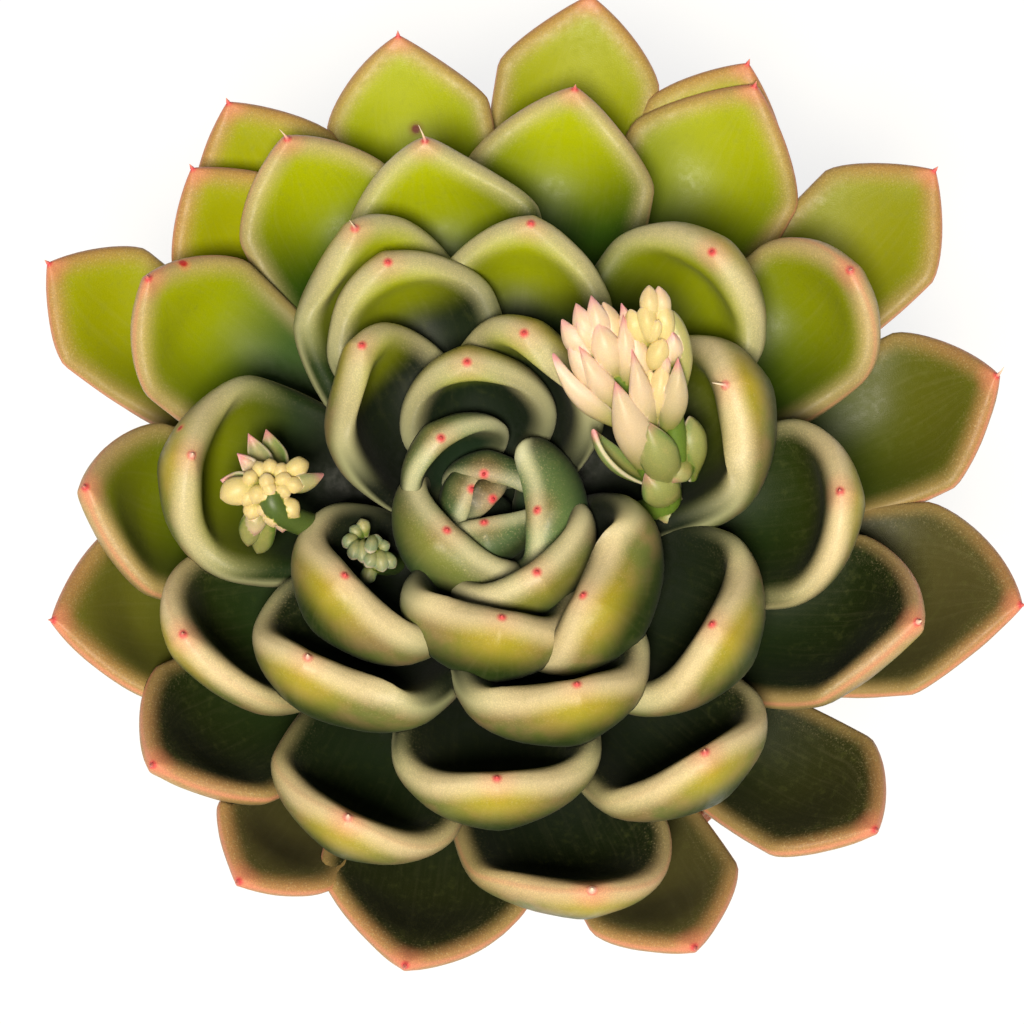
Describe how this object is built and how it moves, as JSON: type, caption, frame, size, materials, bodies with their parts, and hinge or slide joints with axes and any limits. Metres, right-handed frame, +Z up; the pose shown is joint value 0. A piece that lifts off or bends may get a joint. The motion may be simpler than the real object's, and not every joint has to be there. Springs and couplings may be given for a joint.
{
  "type": "potted echeveria",
  "caption": "Rosette succulent with thick cupped leaves and young flower shoots, growing on a short stem in soil in a plain clay pot.",
  "frame": {"origin": "centre of the pot's flat foot, on the surface that the pot stands on", "axes": "+Z up, out of the pot; the picture's viewer stands on the -Y side and looks down steeply, so the picture's right is +X and its top is +Y"},
  "size_m": [0.1014, 0.1081, 0.0855],
  "materials": {
    "pot": "matte",
    "soil": "matte",
    "stem": "matte",
    "heart_leaf": "satin",
    "leaf": "satin",
    "bud": "satin",
    "young_shoot": "satin"
  },
  "bodies": {
    "root": {"pot": "pot", "soil": "soil", "stem": "stem", "leaf_01": "heart_leaf", "leaf_02": "heart_leaf", "leaf_03": "heart_leaf", "leaf_04": "heart_leaf", "leaf_05": "heart_leaf", "leaf_06": "heart_leaf", "leaf_07": "heart_leaf", "leaf_08": "heart_leaf", "leaf_09": "leaf", "leaf_10": "leaf", "leaf_11": "leaf", "leaf_12": "leaf", "leaf_13": "leaf", "leaf_14": "leaf", "leaf_15": "leaf", "leaf_16": "leaf", "leaf_17": "leaf", "leaf_18": "leaf", "leaf_19": "leaf", "leaf_20": "leaf", "leaf_21": "leaf", "leaf_22": "leaf", "leaf_23": "leaf", "leaf_24": "leaf", "leaf_25": "leaf", "leaf_26": "leaf", "leaf_27": "leaf", "leaf_28": "leaf", "leaf_29": "leaf", "leaf_30": "leaf", "leaf_31": "leaf", "leaf_32": "leaf", "leaf_33": "leaf", "leaf_34": "leaf", "leaf_35": "leaf", "leaf_36": "leaf", "leaf_37": "leaf", "leaf_38": "leaf", "leaf_39": "leaf", "leaf_40": "leaf", "leaf_41": "leaf", "leaf_42": "leaf", "leaf_43": "leaf", "leaf_44": "leaf", "leaf_45": "leaf", "leaf_46": "leaf", "leaf_47": "leaf", "leaf_48": "leaf", "leaf_49": "leaf", "leaf_50": "leaf", "leaf_51": "leaf", "leaf_52": "leaf", "flower_shoot_large": "bud", "flower_shoot_small": "bud", "young_shoot": "young_shoot"}
  },
  "joints": []
}
